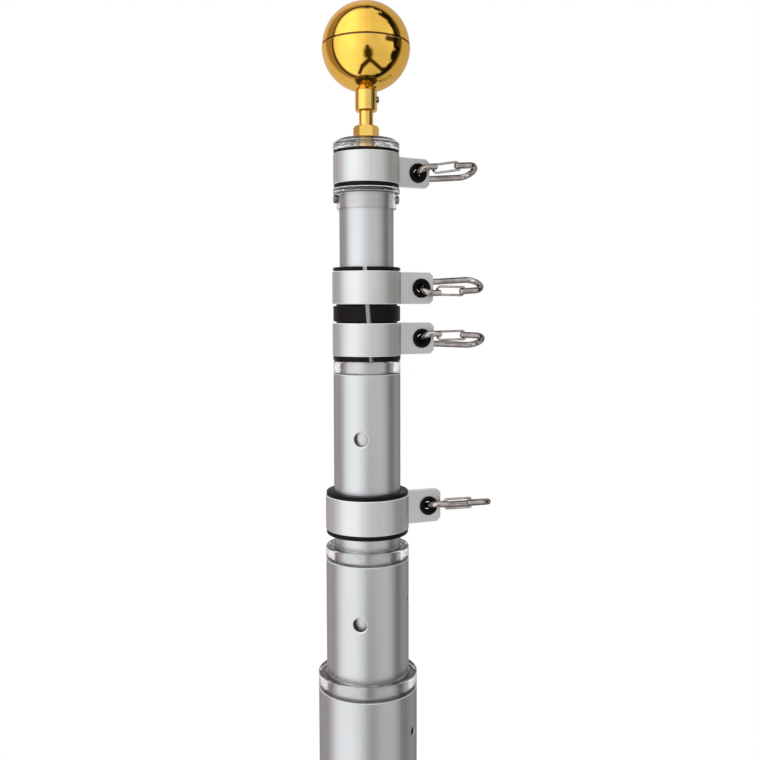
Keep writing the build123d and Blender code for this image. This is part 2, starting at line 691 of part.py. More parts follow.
nodes = {
    "base_tube": base_tube,
    "base_foot_plug": foot_plug(),
    "base_collar": collar(base_tube_diameter, lower_tube_diameter, base_mouth, BASE_COLLAR_HEIGHT),
    "lower_tube": lower_tube,
    "lower_collar": collar(lower_tube_diameter, middle_tube_diameter, lower_mouth, LOWER_COLLAR_HEIGHT),
    "lower_guide_cup": guide_cup(lower_tube_diameter, base_tube_diameter, lower_foot),
    "lower_lock_button": lock_button(lower_tube_diameter, base_tube_diameter, BASE_LOCK_AZIMUTH, lower_foot),
    "middle_tube": middle_tube,
    "middle_collar": collar(middle_tube_diameter, TOP_TUBE_DIAMETER, middle_mouth, MIDDLE_COLLAR_HEIGHT),
    "middle_guide_cup": guide_cup(middle_tube_diameter, lower_tube_diameter, middle_foot),
    "middle_lock_button": lock_button(
        middle_tube_diameter, lower_tube_diameter, LOWER_LOCK_AZIMUTH, middle_foot),
    "top_tube": top_tube,
    "top_guide_cup": guide_cup(TOP_TUBE_DIAMETER, middle_tube_diameter, top_foot),
    "top_lock_button": lock_button(TOP_TUBE_DIAMETER, middle_tube_diameter, MIDDLE_LOCK_AZIMUTH, top_foot),
    "truck_body": truck_body(),
    "truck_cap": truck_cap(),
    "ball_stem": ball_stem(),
    "ball_ferrule": ball_ferrule(),
    "ball_lower_half": ball_lower_half(),
    "ball_upper_half": ball_upper_half(),
    "top_bushing": top_bushing(),
    "split_sleeve": split_sleeve(),
    "bottom_bushing": bottom_bushing(),
}
for ring in RINGS:
    nodes[f"{ring.name}_ring"] = swivel_ring(ring)
    nodes[f"{ring.name}_grommet"] = grommet(ring)
    nodes[f"{ring.name}_link"] = link(ring)
    nodes[f"{ring.name}_gate_wire"] = gate(ring)

os.makedirs("parts", exist_ok=True)
for name, solid in nodes.items():
    export_step(solid, f"parts/{name}.step")
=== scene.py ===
from math import cos, pi, radians, sin, tau

import bmesh
import bpy
from mathutils import Euler, Matrix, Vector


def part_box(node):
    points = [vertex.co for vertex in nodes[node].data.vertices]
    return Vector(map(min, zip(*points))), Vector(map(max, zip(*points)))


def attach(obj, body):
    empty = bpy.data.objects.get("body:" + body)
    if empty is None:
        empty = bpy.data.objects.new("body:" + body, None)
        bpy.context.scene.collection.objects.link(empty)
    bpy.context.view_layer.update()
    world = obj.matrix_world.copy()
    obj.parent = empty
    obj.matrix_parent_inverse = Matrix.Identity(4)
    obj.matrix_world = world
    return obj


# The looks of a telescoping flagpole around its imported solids. Lengths are in metres and
# angles in degrees. The origin is the middle of the pole's foot, +Z is up and -Y is the front.

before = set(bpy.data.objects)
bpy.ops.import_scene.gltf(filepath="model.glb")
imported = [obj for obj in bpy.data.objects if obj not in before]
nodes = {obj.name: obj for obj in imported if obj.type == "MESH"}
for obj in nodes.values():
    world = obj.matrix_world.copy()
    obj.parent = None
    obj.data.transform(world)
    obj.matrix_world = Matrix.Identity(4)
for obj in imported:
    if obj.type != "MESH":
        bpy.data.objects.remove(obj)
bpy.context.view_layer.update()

MM = 0.001
HALF_TURN = 180.0

# Spans and levels for mapping values
UNIT = (0.0, 1.0)
FADE = (1.0, 0.0)
NOISE_SPAN = (0.3, 0.7)
CLOUD_SPAN = (0.35, 0.65)

# Sockets of a colour mix
MIX_FACTOR = 0
MIX_FIRST = 6
MIX_SECOND = 7
MIX_RESULT = 2

# Camera: square picture, no shift, looking along +Y and a little down
CAMERA_PLACE = (0.0099, -0.7097, 1.7170)
CAMERA_LENS = 44.38
CAMERA_SENSOR = 36.0
CAMERA_PITCH = 4.604
CAMERA_ROLL = -0.12
LEVEL_TILT = 90.0

# Floor
FLOOR_RADIUS = 2.3
FLOOR_SIDES = 128
FLOOR_DARK = (0.86, 0.86, 0.86, 1.0)
FLOOR_LIGHT = (0.90, 0.90, 0.90, 1.0)
FLOOR_CLOUD_SCALE = 3.0
FLOOR_ROUGHNESS = 0.7

# Studio, laid out as the gilt ball mirrors it: the direction from the ball to the camera, and
# the picture's right and up; places are in ball radii
BALL_TO_CAMERA = (0.0135, -0.9657, -0.2592)
PICTURE_RIGHT = (1.0, 0.014, 0.0)
PICTURE_UP = (0.0, -0.2592, 0.9658)
RIGHT_SPAN = (-0.1, 0.3)
# The bright front and its wavy edge
FRONT_MIDDLE = (-0.05, 0.10)
FRONT_RADII = (0.67, 0.72)
FRONT_EDGE = (0.95, 1.04)
FRONT_LEVELS = [(0.00, 1.02), (0.12, 1.30), (0.34, 1.34), (0.42, 1.12), (0.55, 0.80), (0.66, 0.70),
                (0.86, 0.74), (1.0, 0.90)]
FRONT_LEVEL_SPAN = (-0.72, 0.62)
LIFT_SPAN = (-0.5, 0.6)
LIFT_LEVELS = (0.96, 1.16)
FRONT_CLOUD_SCALE = 3.2
FRONT_CLOUD_DETAIL = 1.0
FRONT_CLOUD_LEVELS = (0.93, 1.07)
RIPPLE_SCALE = 7.0
RIPPLE_DETAIL = 2.0
RIPPLE_LEVELS = (-0.07, 0.07)
# The dark band round the front, with a black line inside it
BAND_MIDDLE = (-0.05, 0.09)
BAND_RADII = (0.848, 0.80)
BAND_EDGE = (0.96, 1.03)
BAND_LEFT = (0.36, 0.25, 0.23, 1.0)
BAND_RIGHT = (0.07, 0.05, 0.04, 1.0)
BAND_LINE = (0.012, 0.010, 0.010, 1.0)
LINE_SPAN = (0.3, -0.5)
LINE_ENDS = (1.05, 1.07)
LINE_SPREAD = (0.0, 0.09)
# The wall behind, as mirrored and as seen through clear plastic, and the paper
WALL_LEFT = (0.71, 0.67, 0.65, 1.0)
WALL_RIGHT = (0.57, 0.54, 0.51, 1.0)
WALL_THROUGH = (0.95, 0.93, 0.93, 1.0)
PAPER = (1.0, 1.0, 1.0, 1.0)
HALF_BOUNCE = 0.5
# The stand in front as bars (start, end, half width), and dark things at the right
DARK_THING = (0.05, 0.032, 0.026, 1.0)
STAND_BARS = [((0.03, 0.01), (0.04, -0.08), 0.045), ((0.05, -0.09), (0.055, -0.15), 0.100),
              ((0.065, -0.17), (0.09, -0.27), 0.055), ((0.06, -0.27), (-0.08, -0.40), 0.050),
              ((-0.08, -0.40), (-0.14, -0.54), 0.040), ((0.10, -0.26), (0.34, -0.46), 0.042),
              ((0.34, -0.47), (0.41, -0.46), 0.040)]
DARK_BARS = [((0.30, 0.70), (0.56, 0.55), 0.030), ((0.48, 0.18), (0.68, 0.14), 0.050)]
BAR_INNER_SHARE = 0.5
BAR_OUTER_SHARE = 1.5

# Depth of surface grain
GRAIN_DEPTH = 0.1 * MM
FINE_DEPTH = 0.05 * MM

# Places that other surfaces close in, which get painted shade
SKY_SAMPLES = 12
CLOSED_SPAN = (0.25, 0.6)

# Drawn aluminium
DRAWN_DETAIL = 3.0
DRAWN_STRETCH = (1.0, 1.0, 0.006)
DRAWN_SHARE = 0.5
DRAWN_CLOUD_SCALE = 35.0
DRAWN_CLOUD_DETAIL = 2.0
DRAWN_CLOUD_STRETCH = (1.0, 1.0, 0.4)
DRAWN_GRAIN_SCALE = 5200.0
DRAWN_GRAIN_DETAIL = 1.0
DRAWN_GRAIN_SHARE = 0.35
# Painted highlight: bevels and cut ends are painted near white, barely metal and rough
FLAT_CUT_SPAN = (0.25, 0.5)
ROUND_CUT_SPAN = (0.80, 0.94)
CUT_METALLIC = 0.1
CUT_ROUGHNESS = 0.55

# Gilt metal, with the ball's seam, which leans back, painted shade in its gap and round the neck, and a
# painted highlight on the rim below it
GILT_CLOUD_SCALE = 60.0
GILT_CLOUD_DETAIL = 3.0
GILT_SPUN_SCALE = 900.0
GILT_SPUN_DETAIL = 2.0
GILT_SPUN_STRETCH = (0.05, 0.05, 1.0)
GILT_SPUN_STRENGTH = 0.03
GILT_EDGE = (1.0, 0.87, 0.78, 1.0)
SEAM_LEAN = 2.2
SEAM_GAP = 1.1 * MM
SEAM_BEVEL = 0.6 * MM
SEAM_BLUR = 0.15 * MM
# Painted shade: near-black colour in the seam's gap and in closed-in places round the neck
SEAM_SHADE = (0.06, 0.022, 0.006, 1.0)
# Painted highlight: bright colour, only partly metal, on the rim just below the seam
SEAM_HIGHLIGHT = (1.0, 0.74, 0.32, 1.0)
RIM_METALLIC = 0.4
NECK_DEPTH = 20 * MM
NECK_REACH = 1.6 * MM

# Clear plastic: its underside is the seat, and the bevel round it is painted near black as a painted shade
# line
HAZE_SCALE = 90.0
HAZE_DETAIL = 3.0
HAZE_STRETCH = (1.0, 1.0, 3.0)
FLOW_SCALE = 160.0
FLOW_DETAIL = 2.0
FLOW_STRETCH = (1.0, 1.0, 5.0)
FLOW_DEPTH = 0.4 * MM
SEAT_SPAN = (-0.95, -0.85)
BEVEL_SPAN = (-0.60, -0.45)
TINT_SPAN = (0.35, 0.7)
CLEAR_TINT = (1.0, 0.995, 0.995, 1.0)
HAZY_TINT = (0.985, 0.972, 0.976, 1.0)
# Painted shade: near-black colour on the bevel round the foot
SHADE_LINE_TINT = (0.02, 0.02, 0.02, 1.0)
CLEAR_LEVELS = (0.98, 0.94)
CLEAR_ROUGH_SPAN = (0.3, 0.8)
CLEAR_ROUGH_LEVELS = (0.0, 0.04)
CLEAR_IOR = 1.49

# Moulded plastic and rubber
MOULD_GRAIN_DETAIL = 3.0
MOULD_CLOUD_SCALE = 45.0
MOULD_CLOUD_DETAIL = 2.0

# Polished wire
SMEAR_SCALE = 150.0
SMEAR_DETAIL = 3.0
SCRATCH_SCALE = 2600.0
SCRATCH_DETAIL = 2.0
SCRATCH_STRETCH = (0.25, 0.25, 1.0)
SCRATCH_BEND = 0.4
SCRATCH_STRENGTH = 0.08
WIRE_REACH = 4.0 * MM
# Painted shade: wire that other pieces close in within this reach is painted near black
WIRE_SHADE = (0.01, 0.01, 0.01, 1.0)
WIRE_EDGE = (0.05, 0.05, 0.05, 1.0)

# Small fasteners
SCREW_SLOT = "button_steel"
SCREW_SIDES = 48
SCREW_SHARP_ANGLE = 35.0
EDGE_STEPS = 5
HEAD_ROOT = 1.2 * MM
TRUCK_SKIRT_WALL = 2.0 * MM
TRUCK_SCREW_AZIMUTH = 10.0
TRUCK_SCREW_RISE = 7.4 * MM
TRUCK_HEAD_RADIUS = 3.1 * MM
TRUCK_HEAD_RISE = 2.4 * MM
TRUCK_HEAD_EDGE = 0.9 * MM
TRUCK_SOCKET = 2.5 * MM
TRUCK_SOCKET_DEPTH = 1.3 * MM
SET_SCREW_AZIMUTH = -4.0
SET_SCREW_HEIGHT = 8.8 * MM
SET_SCREW_RADIUS = 2.25 * MM
SET_SCREW_RISE = 1.4 * MM
SET_SCREW_EDGE = 0.5 * MM
SET_SCREW_SOCKET = 2.0 * MM
SET_SCREW_SOCKET_DEPTH = 1.0 * MM
COLLAR_SCREWS = [("base", "base", -25.0), ("lower", "lower_section", -9.8)]
COLLAR_SCREW_DROP = 31.2 * MM
COLLAR_HEAD_RADIUS = 3.3 * MM
COLLAR_HEAD_RISE = 1.3 * MM
COLLAR_HEAD_SINK = 0.7 * MM
COLLAR_HEAD_EDGE = 0.6 * MM
COLLAR_SOCKET = 2.5 * MM
COLLAR_SOCKET_DEPTH = 0.9 * MM


# Nodes

def plug(tree, node, inputs):
    """Link or set a node's inputs."""
    for key, value in inputs.items():
        socket = node.inputs[key]
        if isinstance(value, bpy.types.NodeSocket):
            tree.links.new(value, socket)
        else:
            socket.default_value = value


def add(tree, kind, inputs=None, **settings):
    """Add a node, set its properties and plug its inputs."""
    node = tree.nodes.new(kind)
    for key, value in settings.items():
        setattr(node, key, value)
    plug(tree, node, inputs or {})
    return node


def maths(tree, operation, *values):
    """A math node's output."""
    return add(tree, "ShaderNodeMath", dict(enumerate(values)), operation=operation).outputs[0]


def vectors(tree, operation, *values):
    """A vector math node's output, which is a number for a dot product."""
    node = add(tree, "ShaderNodeVectorMath", dict(enumerate(values)), operation=operation)
    return node.outputs["Value" if operation == "DOT_PRODUCT" else "Vector"]


def between(tree, value, span, levels, smooth=True):
    """A value mapped from a span to levels and clamped."""
    inputs = {"Value": value, "From Min": span[0], "From Max": span[1]}
    inputs |= {"To Min": levels[0], "To Max": levels[1]}
    kind = "SMOOTHSTEP" if smooth else "LINEAR"
    return add(tree, "ShaderNodeMapRange", inputs, interpolation_type=kind).outputs["Result"]


def grey(level):
    """A neutral colour."""
    return (level, level, level, 1.0)


def ramp(tree, factor, stops):
    """A grey ramp from (place, level) stops."""
    node = add(tree, "ShaderNodeValToRGB", {"Fac": factor})
    elements = node.color_ramp.elements
    while len(elements) < len(stops):
        elements.new(1.0)
    for element, (place, level) in zip(elements, stops):
        element.position = place
        element.color = grey(level)
    return node.outputs["Color"]


def blend(tree, factor, first, second):
    """Two colours mixed by a factor."""
    inputs = {MIX_FACTOR: factor, MIX_FIRST: first, MIX_SECOND: second}
    return add(tree, "ShaderNodeMix", inputs, data_type="RGBA").outputs[MIX_RESULT]


# Studio light

def ellipse(tree, across, up, centre, radii):
    """How far out a point lies, 1 on the ellipse."""
    x = maths(tree, "DIVIDE", maths(tree, "SUBTRACT", across, centre[0]), radii[0])
    y = maths(tree, "DIVIDE", maths(tree, "SUBTRACT", up, centre[1]), radii[1])
    total = maths(tree, "ADD", maths(tree, "MULTIPLY", x, x), maths(tree, "MULTIPLY", y, y))
    return maths(tree, "SQRT", total)


def bar(tree, across, up, start, end, half_width):
    """1 on a bar with round ends, 0 off it."""
    run = end[0] - start[0]
    rise = end[1] - start[1]
    span = run * run + rise * rise
    x = maths(tree, "SUBTRACT", across, start[0])
    y = maths(tree, "SUBTRACT", up, start[1])
    along = maths(tree, "MULTIPLY_ADD", x, run / span, maths(tree, "MULTIPLY", y, rise / span))
    along = between(tree, along, UNIT, UNIT, smooth=False)
    x = maths(tree, "MULTIPLY_ADD", along, -run, x)
    y = maths(tree, "MULTIPLY_ADD", along, -rise, y)
    far = maths(tree, "SQRT", maths(tree, "MULTIPLY_ADD", x, x, maths(tree, "MULTIPLY", y, y)))
    edge = (BAR_INNER_SHARE * half_width, BAR_OUTER_SHARE * half_width)
    return between(tree, far, edge, FADE)


def direction_noise(tree, direction, scale, detail):
    """Noise over the directions of the room."""
    inputs = {"Vector": direction, "Scale": scale, "Detail": detail}
    return add(tree, "ShaderNodeTexNoise", inputs).outputs["Fac"]


def front_colour(tree, half, across, up):
    """The bright front, with the dark things that stand before it."""
    place = between(tree, across, FRONT_LEVEL_SPAN, UNIT, smooth=False)
    front = ramp(tree, place, FRONT_LEVELS)
    lift = between(tree, up, LIFT_SPAN, LIFT_LEVELS)
    cloud = direction_noise(tree, half, FRONT_CLOUD_SCALE, FRONT_CLOUD_DETAIL)
    cloud = between(tree, cloud, NOISE_SPAN, FRONT_CLOUD_LEVELS, smooth=False)
    front = maths(tree, "MULTIPLY", front, maths(tree, "MULTIPLY", lift, cloud))
    dark = 0.0
    for start, end, half_width in STAND_BARS + DARK_BARS:
        dark = maths(tree, "MAXIMUM", dark, bar(tree, across, up, start, end, half_width))
    return blend(tree, dark, front, DARK_THING)


def make_world():
    """A white room with a bright front, a dark band round it and a warm wall behind.

    Across and up are the sideways and upward parts of the direction halfway between the camera
    and the direction looked in, which is the place on the ball where that direction shows.
    """
    world = bpy.data.worlds.new("studio")
    bpy.context.scene.world = world
    world.use_nodes = True
    tree = world.node_tree
    tree.nodes.clear()
    place = add(tree, "ShaderNodeTexCoord").outputs["Generated"]
    half = vectors(tree, "NORMALIZE", vectors(tree, "ADD", place, BALL_TO_CAMERA))
    across = vectors(tree, "DOT_PRODUCT", half, PICTURE_RIGHT)
    up = vectors(tree, "DOT_PRODUCT", half, PICTURE_UP)
    right = between(tree, across, RIGHT_SPAN, UNIT)

    ripple = direction_noise(tree, half, RIPPLE_SCALE, RIPPLE_DETAIL)
    ripple = between(tree, ripple, NOISE_SPAN, RIPPLE_LEVELS, smooth=False)
    wobble = maths(tree, "MULTIPLY", ripple, right)
    inner = maths(tree, "ADD", ellipse(tree, across, up, FRONT_MIDDLE, FRONT_RADII), wobble)
    outer = ellipse(tree, across, up, BAND_MIDDLE, BAND_RADII)
    in_front = between(tree, inner, FRONT_EDGE, FADE)
    in_band = between(tree, outer, BAND_EDGE, FADE)

    band = blend(tree, right, BAND_LEFT, BAND_RIGHT)
    line_end = between(tree, right, UNIT, LINE_SPREAD, smooth=False)
    line_end = maths(tree, "ADD", line_end, between(tree, up, LINE_SPAN, LINE_ENDS))
    band = blend(tree, maths(tree, "LESS_THAN", inner, line_end), band, BAND_LINE)

    path = add(tree, "ShaderNodeLightPath").outputs
    wall = blend(tree, right, WALL_LEFT, WALL_RIGHT)
    through = maths(tree, "GREATER_THAN", path["Transmission Depth"], HALF_BOUNCE)
    wall = blend(tree, through, wall, WALL_THROUGH)
    behind = blend(tree, in_band, wall, band)
    colour = blend(tree, in_front, behind, front_colour(tree, half, across, up))

    bounced = maths(tree, "ADD", path["Glossy Depth"], path["Diffuse Depth"])
    straight = maths(tree, "LESS_THAN", bounced, HALF_BOUNCE)
    straight = maths(tree, "MULTIPLY", path["Is Transmission Ray"], straight)
    seen = maths(tree, "MAXIMUM", path["Is Camera Ray"], straight)
    room = add(tree, "ShaderNodeBackground", {"Color": colour}).outputs[0]
    paper = add(tree, "ShaderNodeBackground", {"Color": PAPER}).outputs[0]
    shader = add(tree, "ShaderNodeMixShader", {0: seen, 1: room, 2: paper}).outputs[0]
    add(tree, "ShaderNodeOutputWorld", {"Surface": shader})


# Materials

def new_material(name):
    """An empty node material, with its tree and its principled shader."""
    material = bpy.data.materials.new(name)
    material.use_nodes = True
    tree = material.node_tree
    tree.nodes.clear()
    shader = add(tree, "ShaderNodeBsdfPrincipled")
    add(tree, "ShaderNodeOutputMaterial", {"Surface": shader.outputs[0]})
    return material, tree, shader


def noise(tree, scale, detail=2.0, stretch=(1.0, 1.0, 1.0), distortion=0.0):
    """Noise over the object's own coordinates, stretched along the axes."""
    place = add(tree, "ShaderNodeTexCoord").outputs["Object"]
    mapped = add(tree, "ShaderNodeMapping", {"Vector": place, "Scale": stretch}).outputs["Vector"]
    inputs = {"Vector": mapped, "Scale": scale, "Detail": detail, "Distortion": distortion}
    return add(tree, "ShaderNodeTexNoise", inputs).outputs["Fac"]


def bump(tree, height, strength, distance):
    """A bumped normal."""
    inputs = {"Height": height, "Strength": strength, "Distance": distance}
    return add(tree, "ShaderNodeBump", inputs).outputs["Normal"]


def enclosed(tree, reach):
    """1 where other surfaces within reach close a place in, 0 where it lies open."""
    sky = add(tree, "ShaderNodeAmbientOcclusion", {"Distance": reach}, samples=SKY_SAMPLES)
    return between(tree, sky.outputs["AO"], CLOSED_SPAN, FADE)


def cut_faces(tree, flat):
    """1 on bevels and cut ends, which on flat-sided pieces face up or down, and else not outwards."""
    place = add(tree, "ShaderNodeTexCoord").outputs
    if flat:
        upright = add(tree, "ShaderNodeSeparateXYZ", {0: place["Normal"]}).outputs["Z"]
        return between(tree, maths(tree, "ABSOLUTE", upright), FLAT_CUT_SPAN, UNIT)
    spoke = vectors(tree, "MULTIPLY", place["Object"], (1, 1, 0))
    spoke = vectors(tree, "NORMALIZE", spoke)
    outward = vectors(tree, "DOT_PRODUCT", spoke, place["Normal"])
    return between(tree, maths(tree, "ABSOLUTE", outward), ROUND_CUT_SPAN, FADE)


def drawn_metal(name, dark, light, rough, line_scale, line_strength, edge, bright, flat):
    """Satin metal with lines drawn along the pole, a fine grain, and a painted highlight: bevels and cut
    ends near white.
    """
    material, tree, shader = new_material(name)
    cut = cut_faces(tree, flat)
    lines = noise(tree, line_scale, DRAWN_DETAIL, DRAWN_STRETCH)
    cloud = noise(tree, DRAWN_CLOUD_SCALE, DRAWN_CLOUD_DETAIL, DRAWN_CLOUD_STRETCH)
    grain = noise(tree, DRAWN_GRAIN_SCALE, DRAWN_GRAIN_DETAIL)
    mixed = maths(tree, "MULTIPLY", lines, DRAWN_SHARE)
    mixed = maths(tree, "MULTIPLY_ADD", cloud, 1 - DRAWN_SHARE, mixed)
    height = maths(tree, "MULTIPLY_ADD", grain, DRAWN_GRAIN_SHARE, lines)
    skin = blend(tree, between(tree, mixed, NOISE_SPAN, UNIT), dark, light)
    roughness = between(tree, lines, NOISE_SPAN, rough)
    cut_roughness = maths(tree, "MULTIPLY", cut, CUT_ROUGHNESS)
    plug(tree, shader, {
        # Painted highlight: bevels and cut ends near white
        "Base Color": blend(tree, cut, skin, bright),
        "Metallic": between(tree, cut, UNIT, (1.0, CUT_METALLIC)),
        "Roughness": maths(tree, "MAXIMUM", roughness, cut_roughness),
        "Specular Tint": edge,
        "Normal": bump(tree, height, line_strength, GRAIN_DEPTH),
    })
    return material


def seam_shade_and_highlight(tree):
    """Masks for painted shade, 1 in the ball's seam and where it is closed in round its neck, and for a
    painted highlight, 1 on the rim below the seam.
    """
    low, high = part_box("ball_upper_half")
    middle = (0, 0, high[2] - (high[0] - low[0]) / 2)
    square = (0, sin(radians(SEAM_LEAN)), cos(radians(SEAM_LEAN)))
    place = add(tree, "ShaderNodeTexCoord").outputs["Object"]
    height = vectors(tree, "DOT_PRODUCT", vectors(tree, "SUBTRACT", place, middle), square)
    above = between(tree, height, (-SEAM_BLUR, SEAM_BLUR), UNIT)
    # Painted shade in the seam's gap
    gap = between(tree, height, (SEAM_GAP - SEAM_BLUR, SEAM_GAP), FADE)
    gap = maths(tree, "MULTIPLY", above, gap)
    # Painted highlight on the rim just below the seam
    rim = between(tree, height, (-SEAM_BEVEL - SEAM_BLUR, -SEAM_BEVEL), UNIT)
    rim = maths(tree, "SUBTRACT", rim, above)
    # Painted shade round the neck where other surfaces close it in
    neck = maths(tree, "LESS_THAN", height, -NECK_DEPTH)
    neck = maths(tree, "MULTIPLY", neck, enclosed(tree, NECK_REACH))
    return maths(tree, "MAXIMUM", gap, neck), rim


def gold(name, dark, light, rough, seamed):
    """Gilt metal, nearly a mirror, with faint spun marks and cloudiness; on the ball, painted shade in the
    seam and round the neck and a painted highlight on the rim below the seam.
    """
    material, tree, shader = new_material(name)
    cloud = noise(tree, GILT_CLOUD_SCALE, GILT_CLOUD_DETAIL)
    spun = noise(tree, GILT_SPUN_SCALE, GILT_SPUN_DETAIL, GILT_SPUN_STRETCH)
    gilt = blend(tree, between(tree, cloud, CLOUD_SPAN, UNIT), dark, light)
    metallic = 1.0
    if seamed:
        # Painted shade in the seam and round the neck, and a painted highlight on the rim below
        painted_shade, rim = seam_shade_and_highlight(tree)
        gilt = blend(tree, painted_shade, blend(tree, rim, gilt, SEAM_HIGHLIGHT), SEAM_SHADE)
        metallic = between(tree, rim, UNIT, (1.0, RIM_METALLIC))
    plug(tree, shader, {
        "Base Color": gilt,
        "Metallic": metallic,
        "Roughness": between(tree, cloud, NOISE_SPAN, rough),
        "Specular Tint": GILT_EDGE,
        "Normal": bump(tree, spun, GILT_SPUN_STRENGTH, FINE_DEPTH),
    })
    return material


def clear_plastic(name, line, seat_clear, flow_strength):
    """Clear moulded plastic with faint haze and flow lines, a milky seat and a painted shade line, near
    black, on the bevel round its foot.
    """
    material, tree, shader = new_material(name)
    haze = noise(tree, HAZE_SCALE, HAZE_DETAIL, HAZE_STRETCH)
    flow = noise(tree, FLOW_SCALE, FLOW_DETAIL, FLOW_STRETCH)
    normal = add(tree, "ShaderNodeTexCoord").outputs["Normal"]
    facing = add(tree, "ShaderNodeSeparateXYZ", {0: normal}).outputs["Z"]
    seat = between(tree, facing, SEAT_SPAN, FADE)
    bevel = maths(tree, "SUBTRACT", between(tree, facing, BEVEL_SPAN, FADE), seat)
    tint = blend(tree, between(tree, haze, TINT_SPAN, UNIT), CLEAR_TINT, HAZY_TINT)
    clear = between(tree, haze, NOISE_SPAN, CLEAR_LEVELS)
    clear = maths(tree, "MINIMUM", clear, between(tree, seat, UNIT, (1.0, seat_clear)))
    clear = maths(tree, "MINIMUM", clear, between(tree, bevel, UNIT, (1.0, 1.0 - line)))
    plug(tree, shader, {
        # Painted shade line on the bevel round the foot
        "Base Color": blend(tree, maths(tree, "MULTIPLY", bevel, line), tint, SHADE_LINE_TINT),
        "Roughness": between(tree, haze, CLEAR_ROUGH_SPAN, CLEAR_ROUGH_LEVELS),
        "Transmission Weight": clear,
        "IOR": CLEAR_IOR,
        "Normal": bump(tree, flow, flow_strength, FLOW_DEPTH),
    })
    return material


def moulded(name, dark, light, rough, grain_scale, grain_strength, shine):
    """Solid moulded plastic or rubber with a fine grain."""
    material, tree, shader = new_material(name)
    grain = noise(tree, grain_scale, MOULD_GRAIN_DETAIL)
    cloud = noise(tree, MOULD_CLOUD_SCALE, MOULD_CLOUD_DETAIL)
    plug(tree, shader, {
        "Base Color": blend(tree, between(tree, cloud, CLOUD_SPAN, UNIT), dark, light),
        "Roughness": between(tree, cloud, NOISE_SPAN, rough),
        "Specular IOR Level": shine,
        "Normal": bump(tree, grain, grain_strength, GRAIN_DEPTH),
    })
    return material


def wire_steel(name, dark, light, rough):
    """Polished steel with smears and fine scratches, with painted shade, near black, where other pieces
    close it in.
    """
    material, tree, shader = new_material(name)
    smear = noise(tree, SMEAR_SCALE, SMEAR_DETAIL)
    scratch = noise(tree, SCRATCH_SCALE, SCRATCH_DETAIL, SCRATCH_STRETCH, SCRATCH_BEND)
    steel = blend(tree, between(tree, smear, CLOUD_SPAN, UNIT), dark, light)
    plug(tree, shader, {
        # Painted shade where other pieces close the wire in
        "Base Color": blend(tree, enclosed(tree, WIRE_REACH), steel, WIRE_SHADE),
        "Metallic": 1.0,
        "Roughness": between(tree, smear, NOISE_SPAN, rough),
        "Specular Tint": WIRE_EDGE,
        "Normal": bump(tree, scratch, SCRATCH_STRENGTH, FINE_DEPTH),
    })
    return material


finishes = {
    "tube_aluminium": drawn_metal(
        "satin_tube", dark=(0.597, 0.611, 0.622, 1.0), light=(0.632, 0.647, 0.661, 1.0), rough=(0.38, 0.44),
        line_scale=900.0, line_strength=0.03, edge=grey(0.4), bright=grey(0.88), flat=False),
    "ring_aluminium": drawn_metal(
        "satin_ring", dark=(0.67, 0.68, 0.674, 1.0), light=(0.77, 0.78, 0.774, 1.0), rough=(0.48, 0.54),
        line_scale=700.0, line_strength=0.06, edge=grey(0.5), bright=grey(1.0), flat=True),
    "clear_plastic": clear_plastic("clear_collar", line=0.95, seat_clear=0.4, flow_strength=0.3),
    "guide_nylon": moulded(
        "natural_nylon", dark=grey(0.60), light=grey(0.68), rough=(0.40, 0.55),
        grain_scale=1500.0, grain_strength=0.1, shine=0.5),
    "button_steel": wire_steel("button_steel", dark=grey(0.20), light=grey(0.32), rough=(0.18, 0.3)),
    "gold_stem": gold(
        "gilt_stem", dark=(0.90, 0.59, 0.14, 1.0), light=(0.95, 0.65, 0.18, 1.0), rough=(0.18, 0.26),
        seamed=False),
    "gold_ball": gold(
        "gilt_ball", dark=(0.95, 0.57, 0.09, 1.0), light=(0.98, 0.61, 0.11, 1.0), rough=(0.05, 0.09),
        seamed=True),
    "black_nylon": moulded(
        "black_nylon", dark=(0.006, 0.005, 0.004, 1.0), light=(0.009, 0.008, 0.007, 1.0), rough=(0.34, 0.5),
        grain_scale=1800.0, grain_strength=0.12, shine=0.1),
    "black_rubber": moulded(
        "black_rubber", dark=grey(0.004), light=grey(0.007), rough=(0.5, 0.65),
        grain_scale=2400.0, grain_strength=0.2, shine=0.1),
    "link_steel": wire_steel(
        "bright_wire", dark=(0.40, 0.36, 0.345, 1.0), light=(0.58, 0.54, 0.52, 1.0), rough=(0.07, 0.16)),
    "gate_steel": wire_steel(
        "gate_wire", dark=(0.42, 0.38, 0.365, 1.0), light=(0.60, 0.56, 0.54, 1.0), rough=(0.07, 0.16)),
}


def dress_nodes():
    """Give every solid the finish of its slot, and the truck a wavier clear plastic."""
    for node in nodes.values():
        for slot in node.material_slots:
            slot.material = finishes[slot.material.name.split(".")[0]]
    wavy = clear_plastic("clear_truck", line=0.0, seat_clear=1.0, flow_strength=0.35)
    for name in ("truck_body", "truck_cap"):
        nodes[name].material_slots[0].material = wavy


# Small fasteners

def head_profile(radius, rise, edge):
    """A button head: straight side, rounded edge and a flat crown."""
    points = [(radius, -HEAD_ROOT)]
    for step in range(EDGE_STEPS + 1):
        angle = pi / 2 * step / EDGE_STEPS
        points.append((radius - edge + edge * cos(angle), rise - edge + edge * sin(angle)))
    return points


def socket_radius(flats, angle):
    """How far out a hexagonal socket reaches at an angle."""
    sixth = pi / 3
    return flats / 2 / cos((angle + sixth / 2) % sixth - sixth / 2)


